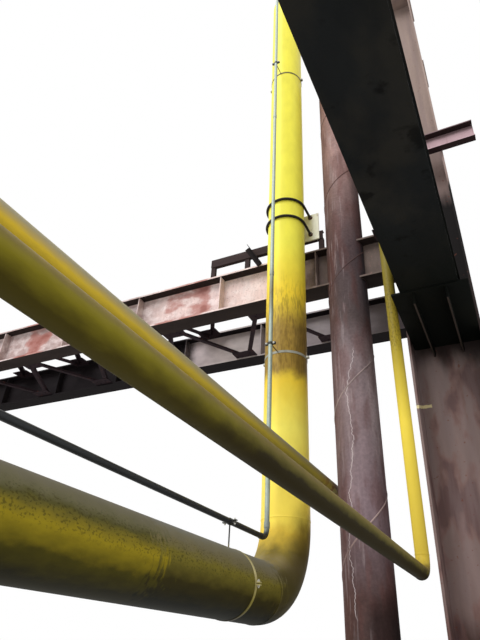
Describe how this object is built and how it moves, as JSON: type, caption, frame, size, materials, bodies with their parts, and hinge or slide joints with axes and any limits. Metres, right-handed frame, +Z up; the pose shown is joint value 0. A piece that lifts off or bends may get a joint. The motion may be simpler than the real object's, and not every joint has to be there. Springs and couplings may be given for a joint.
{
  "type": "industrial pipe bridge",
  "caption": "Steel pipe bridge: laced I-girders on tube and plate columns, a corbelled box girder, and yellow pipes that run level and turn up beside a column.",
  "frame": {"origin": "on the floor, on the axis of the right tube column", "axes": "+X along the laced girders towards the box girder, +Y along the level pipes towards their risers, +Z up"},
  "size_m": [11.76, 10.607, 12.4],
  "materials": {
    "olive_yellow_paint": "dusty paint",
    "lemon_yellow_paint": "gloss paint with grime",
    "front_pipe_paint": "dusty paint",
    "riser_yellow_paint": "gloss paint",
    "rear_pipe_paint": "dusty paint",
    "galvanised_conduit": "zinc, dull",
    "red_brown_paint": "weathered primer",
    "purple_brown_paint": "weathered primer",
    "chalky_pink_paint": "chalked primer with rust",
    "purple_grey_paint": "weathered primer",
    "dark_purple_paint": "weathered primer",
    "dark_brown_paint": "dark weathered primer",
    "salmon_paint": "weathered primer",
    "dark_steel": "oiled and rusty steel",
    "cream_paint": "dusty paint"
  },
  "bodies": {
    "root": {"main_pipe_run": "olive_yellow_paint", "main_pipe_elbow": "olive_yellow_paint", "main_pipe_riser": "lemon_yellow_paint", "front_pipe_run": "front_pipe_paint", "front_pipe_elbow": "front_pipe_paint", "front_pipe_riser": "riser_yellow_paint", "rear_pipe_run": "rear_pipe_paint", "rear_pipe_elbow": "rear_pipe_paint", "rear_pipe_riser": "rear_pipe_paint", "conduit_run": "galvanised_conduit", "conduit_elbow": "galvanised_conduit", "conduit_riser": "galvanised_conduit", "right_tube_column": "red_brown_paint", "left_tube_column": "red_brown_paint", "tube_bases": "red_brown_paint", "right_front_column": "purple_brown_paint", "right_rear_column": "purple_brown_paint", "left_front_column": "purple_brown_paint", "left_rear_column": "purple_brown_paint", "near_column": "purple_brown_paint", "column_bases": "purple_brown_paint", "column_caps": "purple_brown_paint", "front_girder_right_bay": "chalky_pink_paint", "front_girder_span": "chalky_pink_paint", "front_girder_left_bay": "chalky_pink_paint", "rear_girder": "purple_grey_paint", "front_girder_stiffeners": "chalky_pink_paint", "rear_girder_stiffeners": "purple_grey_paint", "bottom_lacing": "dark_purple_paint", "top_lacing": "dark_purple_paint", "box_girder": "dark_brown_paint", "far_corbel": "dark_brown_paint", "near_corbel": "dark_brown_paint", "stub_beam": "salmon_paint", "column_ties": "purple_brown_paint", "riser_u_bolts": "dark_steel", "riser_back_plate": "cream_paint", "anchor_rail": "cream_paint", "run_band_clamps": "olive_yellow_paint", "riser_band_clamps": "lemon_yellow_paint", "near_frame_posts": "purple_brown_paint", "near_frame_bases": "purple_brown_paint", "near_frame_beams": "purple_brown_paint", "pipe_supports": "purple_brown_paint", "riser_guides": "dark_purple_paint"}
  },
  "joints": []
}
